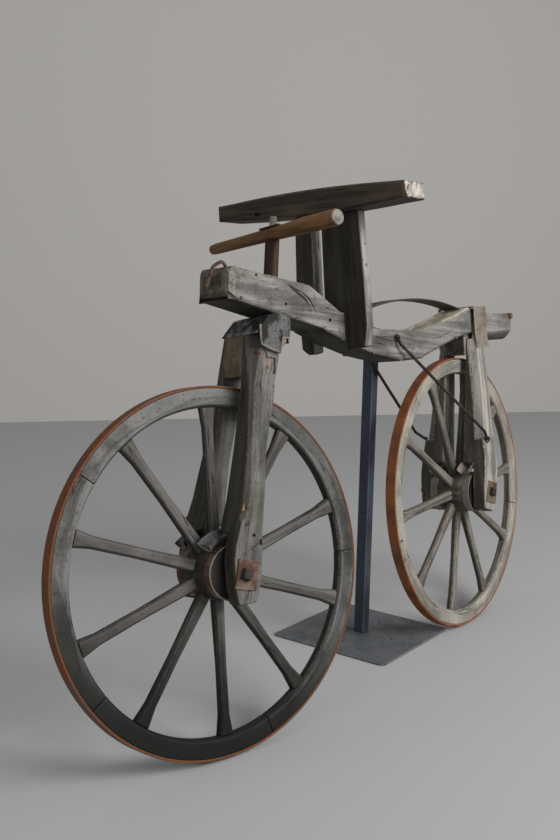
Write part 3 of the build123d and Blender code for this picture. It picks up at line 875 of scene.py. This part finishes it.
def carved(piece, cutters, lit_greyness=1.0):
    """Takes the cutters out of a board. cutters holds (mesh, finish) pairs."""
    piece.modifiers.clear()
    old_grain = np.array([entry.vector[:] for entry in piece.data.attributes["grain"].data])
    rule = np.linalg.lstsq(places(piece.data), old_grain, rcond=None)[0]
    helpers = []
    for mesh, finish in cutters:
        mesh.materials.clear()
        mesh.materials.append(finishes[finish])
        helper = bpy.data.objects.new("cutter", mesh)
        bpy.context.scene.collection.objects.link(helper)
        helpers.append(helper)
        cut = piece.modifiers.new("cut", "BOOLEAN")
        cut.operation = "DIFFERENCE"
        cut.solver = "EXACT"
        cut.material_mode = "TRANSFER"
        cut.object = helper
    ready = piece.evaluated_get(bpy.context.evaluated_depsgraph_get())
    mesh = bpy.data.meshes.new_from_object(ready)
    store_lit_and_grey(mesh, lit_greyness)
    grain = mesh.attributes.get("grain") or mesh.attributes.new("grain", "FLOAT_VECTOR", "POINT")
    grain.data.foreach_set("vector", (places(mesh) @ rule).ravel())
    piece.modifiers.clear()
    piece.data = mesh
    for helper in helpers:
        bpy.data.objects.remove(helper)
    even_shading(piece)
    print(piece.name, "faces", len(mesh.polygons), "materials", len(mesh.materials))


# %% [markdown]
# The beam has one long forked split in its left side, below the arm rest, and a few knot holes.

# %% Splits and holes in the beam
BEAM_SPLITS = [
    ([(-228, 44, 950), (-246, 44, 941), (-262, 44, 932), (-290, 44, 917), (-307, 44, 901)], 5.0),
    ([(-244, 44, 942), (-276, 44, 934), (-304, 44, 919), (-322, 44, 899), (-330, 44, 884)], 2.6),
    ([(-520, 44, 842), (-585, 44, 822), (-650, 44, 812), (-720, 44, 806)], 1.1),
    ([(-860, 44, 806), (-930, 44, 817), (-1000, 44, 832)], 1.0),
]
# x and z of a hole in the left side, radius
BEAM_HOLES = [(-382, 869, 4.5), (-123, 967, 3.0), (-219, 907, 3.5), (-700, 790, 3.0)]
# the splits and holes are lined with near-black painted shade
cutters = [(split_cutter("split", line, width, "frame"), "painted_shade_black") for line, width in BEAM_SPLITS]
for x, z, radius in BEAM_HOLES:
    hole = rough_cutter("hole", (x, 44, z), (radius, 7, 0.8 * radius), 0.8, "frame")
    cutters.append((hole, "painted_shade_black"))
carved(bpy.data.objects["beam_timber"], cutters)

# %% [markdown]
# The arm rest has broken off at its left end, where pale wood shows, and the fork's left leg has lost a flake
# under the cap and another on its front arris.

# %% Broken timber
# the knot in the arm rest, and the nail hole and dent in the fork leg, are lined with near-black painted shade
carved(bpy.data.objects["arm_rest_board"],
       [(rough_cutter("break", (-445, 265, 1142), (70, 18, 50), 5.0, "frame"), "split_wood"),
        (rough_cutter("knot", (-399, -150, 1132), (5, 9, 4), 1.5, "frame"), "painted_shade_black")], lit_greyness=0.6)
carved(bpy.data.objects["fork_leg_left_timber"],
       [(rough_cutter("flake", (-131, 71, 806), (9, 6, 34), 1.6, "fork", 14), "old_break"),
        (rough_cutter("flake_low", (-148, 70, 778), (12, 6, 17), 1.6, "fork", -10), "old_break"),
        (rough_cutter("chip", (-20, 95, 512), (5, 4, 12), 1.2, "fork", 8), "fresh_chip"),
        (rough_cutter("nail_hole", (-34, 99, 448), (2.5, 8, 2.5), 0.4, "fork"), "painted_shade_black"),
        (rough_cutter("dent", (-48, 99, 432), (3, 3, 6), 1.0, "fork"), "painted_shade_black")])

# %% [markdown]
# The cap's lower edge was rolled outwards over a wire, so that it would not cut the rider's leg. The roll runs
# along the edge of its left side.

# %% Rolled edge of the cap
# along the cap and up from its plane, for the left side's free edge
CAP_EDGE = [(80, -28), (78, -50), (74, -68), (50, -75), (25, -79), (22, -62), (20, -47), (2, -45)]
CAP_PLANE_Z = 875
CAP_LEFT_Y = 75
CAP_ROLL_R = 2.4
cap_x = -110 - (CAP_PLANE_Z - 375) * math.tan(RAKE)
roll = [(cap_x + along * math.cos(RAKE) - up * math.sin(RAKE), CAP_LEFT_Y,
         CAP_PLANE_Z + along * math.sin(RAKE) + up * math.cos(RAKE)) for along, up in CAP_EDGE]
work = bmesh.new()
work.from_mesh(rod_mesh("cap_roll", roll, [CAP_ROLL_R] * len(roll), "fork", 2))
added("cap_rolled_edge", work, "bare_steel", "fork")
print("rolled edge points", len(roll))

# %% Rolled front edge of the front guards
GUARD_LIP_R = 1.6
work = bmesh.new()
for side in (1, -1):
    lip = gutter_line(FRONT_HUB, side)
    work.from_mesh(rod_mesh("guard_lip", lip, [GUARD_LIP_R] * len(lip), "fork", 2))
added("front_guard_lips", work, "bare_steel", "fork")
print("guard lips", 2)

# %% [markdown]
# ## Cut ends
# End grain takes dirt and light differently from a board's side. The handlebar's left end is worn pale and the
# beam's front end is dark. The beam's underside gets painted shade, and the ends of the naves are near-black
# painted shade. The top of the beam's dip is worn pale where the rider sat, and so is the tenon that comes
# through the handlebar.

# %% Cut ends
def face_finish(piece, finish, chosen):
    """Gives the faces that chosen(face) accepts another finish."""
    mesh = piece.data
    mesh.materials.append(finishes[finish])
    picked = [face for face in mesh.polygons if chosen(face)]
    for face in picked:
        face.material_index = len(mesh.materials) - 1
    print(piece.name, "has", len(picked), "faces of", finish)


BAR_END = fork @ stem @ Vector((0, 0, 0.7))
bar_left = facing((0, 1, 0), "fork")
face_finish(bpy.data.objects["handlebar_timber"], "bare_end",
            lambda face: face.normal.dot(bar_left) > 0.6 and (face.center - BAR_END).dot(bar_left) > 0.15)
# painted shade: the ends of the naves are near-black
for end, hub, body in HUBS:
    axle = facing((0, 1, 0), body)
    face_finish(bpy.data.objects[end + "_nave_turned"], "painted_shade_black",
                lambda face: abs(face.normal.dot(axle)) > 0.9 and face.area > 0.0005)
beam = bpy.data.objects["beam_timber"]
face_finish(beam, "end_olive", lambda face: face.normal.dot(facing((1, 0, 0), "frame")) > 0.7)
# painted shade on the beam's underside
face_finish(beam, "underside_painted_shade", lambda face: face.normal.z < -0.6)
# the rider sat between these two places along the machine
SEAT_REAR, SEAT_FRONT = ((machine @ Vector((x / 1000, 0, 0.9))).x for x in (-1060, -500))
face_finish(beam, "seat_worn",
            lambda face: face.normal.z > 0.85 and SEAT_REAR < face.center.x < SEAT_FRONT)
tenon_low = (fork @ Vector((-0.2475, 0, 1.068))).z
face_finish(bpy.data.objects["stem_timber"], "tan_sheet", lambda face: face.center.z > tenon_low)

# %% [markdown]
# ## Stage
# A plain pale floor and a pale wall, which aren't part of the object. The floor is large enough to run out of
# the picture on every side.

# %% Stage
def pale(name, colour):
    material = bpy.data.materials.new(name)
    material.use_nodes = True
    shader = material.node_tree.nodes["Principled BSDF"]
    shader.inputs["Base Color"].default_value = colour
    shader.inputs["Roughness"].default_value = 0.9
    return material


def flat(name, size, place, turn, material):
    work = bmesh.new()
    bmesh.ops.create_grid(work, x_segments=1, y_segments=1, size=size)
    work.transform(Matrix.Translation(place) @ turn)
    mesh = bpy.data.meshes.new(name)
    work.to_mesh(mesh)
    work.free()
    mesh.materials.append(material)
    thing = bpy.data.objects.new(name, mesh)
    bpy.context.scene.collection.objects.link(thing)
    return thing


flat("floor", 14.0, (0, 0, 0), Matrix.Identity(4), pale("floor_grey", tint(170, 170, 169)))
wall_turn = Matrix.Rotation(math.radians(53.2), 4, "Z") @ Matrix.Rotation(math.radians(90), 4, "Y")
flat("wall", 14.0, (-3.4, -2.5, 0), wall_turn, pale("wall_grey", tint(196, 192, 186)))
print("stage set")

# %% [markdown]
# ## Light and camera
# In the hall the light comes from tall windows on the machine's left. A large area lamp stands for them, and
# a weak one in front keeps the dark faces readable.

# %% Light
def lamp(name, place, target, width, power, colour=(1, 1, 1)):
    data = bpy.data.lights.new(name, "AREA")
    data.shape = "RECTANGLE"
    data.size = width
    data.size_y = width * 0.7
    data.energy = power
    data.color = colour
    thing = bpy.data.objects.new(name, data)
    thing.location = place
    thing.rotation_euler = (Vector(target) - Vector(place)).to_track_quat("-Z", "Y").to_euler()
    bpy.context.scene.collection.objects.link(thing)


lamp("windows", (-0.2, 4.2, 2.8), (0.1, 0.0, 0.55), 3.0, 230.0)
lamp("front_fill", (3.6, -0.6, 2.2), (0.1, 0.0, 0.5), 2.5, 14.0)
world = bpy.data.worlds.new("hall")
world.use_nodes = True
world.node_tree.nodes["Background"].inputs["Color"].default_value = (0.92, 0.95, 1.0, 1.0)
world.node_tree.nodes["Background"].inputs["Strength"].default_value = 0.42
bpy.context.scene.world = world
bpy.context.scene.view_settings.view_transform = "Standard"
print("lamps set")

# %% Camera
camera_data = bpy.data.cameras.new("camera")
camera_data.lens = 43.3
camera_data.sensor_width = 36.0
camera = bpy.data.objects.new("camera", camera_data)
RIGHT = Vector((-0.5939, 0.8042, 0.0230))
UP = Vector((-0.1026, -0.1041, 0.9893))
BACK = Vector((0.7979, 0.5852, 0.1444))
EYE = Vector((2.2845, 1.3829, 0.9725))
camera.matrix_world = Matrix.Translation(EYE) @ Matrix((RIGHT, UP, BACK)).transposed().to_4x4()
bpy.context.scene.collection.objects.link(camera)
bpy.context.scene.camera = camera
print("camera at", [round(v, 3) for v in EYE])
